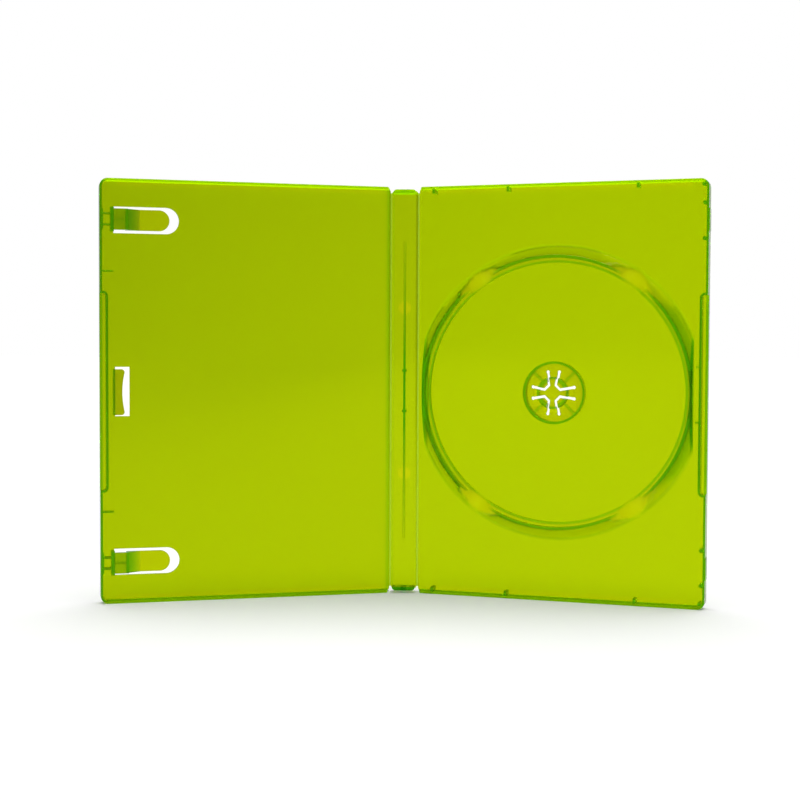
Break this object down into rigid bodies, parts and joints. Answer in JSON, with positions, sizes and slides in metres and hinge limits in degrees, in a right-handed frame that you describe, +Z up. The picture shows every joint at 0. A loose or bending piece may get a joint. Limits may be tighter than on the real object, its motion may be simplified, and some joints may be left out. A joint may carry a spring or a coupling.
{
  "type": "game disc case",
  "caption": "Translucent disc case standing open like a book: front cover with booklet clips and latch hook, narrow spine, and disc tray with hub and ring-shaped well.",
  "frame": {"origin": "on the floor, below the middle of the open case's bounding box", "axes": "+Z up along the spine; +X to the right from the front cover to the disc tray; the inside of the case faces -Y"},
  "size_m": [0.2722, 0.0466, 0.19],
  "materials": {
    "green_polypropylene": "translucent satin"
  },
  "bodies": {
    "spine": {"spine": "green_polypropylene", "front_hinge_web": "green_polypropylene", "rear_hinge_web": "green_polypropylene"},
    "front_cover": {"front_cover": "green_polypropylene"},
    "booklet_clip_upper": {"booklet_clip_upper": "green_polypropylene"},
    "booklet_clip_lower": {"booklet_clip_lower": "green_polypropylene"},
    "disc_tray": {"disc_tray": "green_polypropylene"},
    "hub_button": {"hub_button": "green_polypropylene"}
  },
  "joints": [
    {"name": "front_hinge", "type": "hinge", "parent": "spine", "child": "front_cover", "pos_m": [-0.0065, 0.02282, 0.095], "axis": [0, 0, 1], "range_deg": [-16.5, 73.5], "deforming": ["front_hinge_web"]},
    {"name": "rear_hinge", "type": "hinge", "parent": "spine", "child": "disc_tray", "pos_m": [0.0065, 0.02282, 0.095], "axis": [0, 0, -1], "range_deg": [-16.5, 73.5], "deforming": ["rear_hinge_web"]},
    {"name": "upper_clip_flex", "type": "hinge", "parent": "front_cover", "child": "booklet_clip_upper", "pos_m": [-0.12837, -0.01891, 0.172], "axis": [0, 0, -1], "range_deg": [0, 8], "stiffness_Nm_per_rad": 0.13},
    {"name": "lower_clip_flex", "type": "hinge", "parent": "front_cover", "child": "booklet_clip_lower", "pos_m": [-0.12837, -0.01891, 0.018], "axis": [0, 0, -1], "range_deg": [0, 8], "stiffness_Nm_per_rad": 0.13},
    {"name": "hub_press", "type": "slide", "parent": "disc_tray", "child": "hub_button", "axis": [0.284, 0.9588, 0], "range_m": [0, 0.0012], "stiffness_N_per_m": 8000}
  ]
}
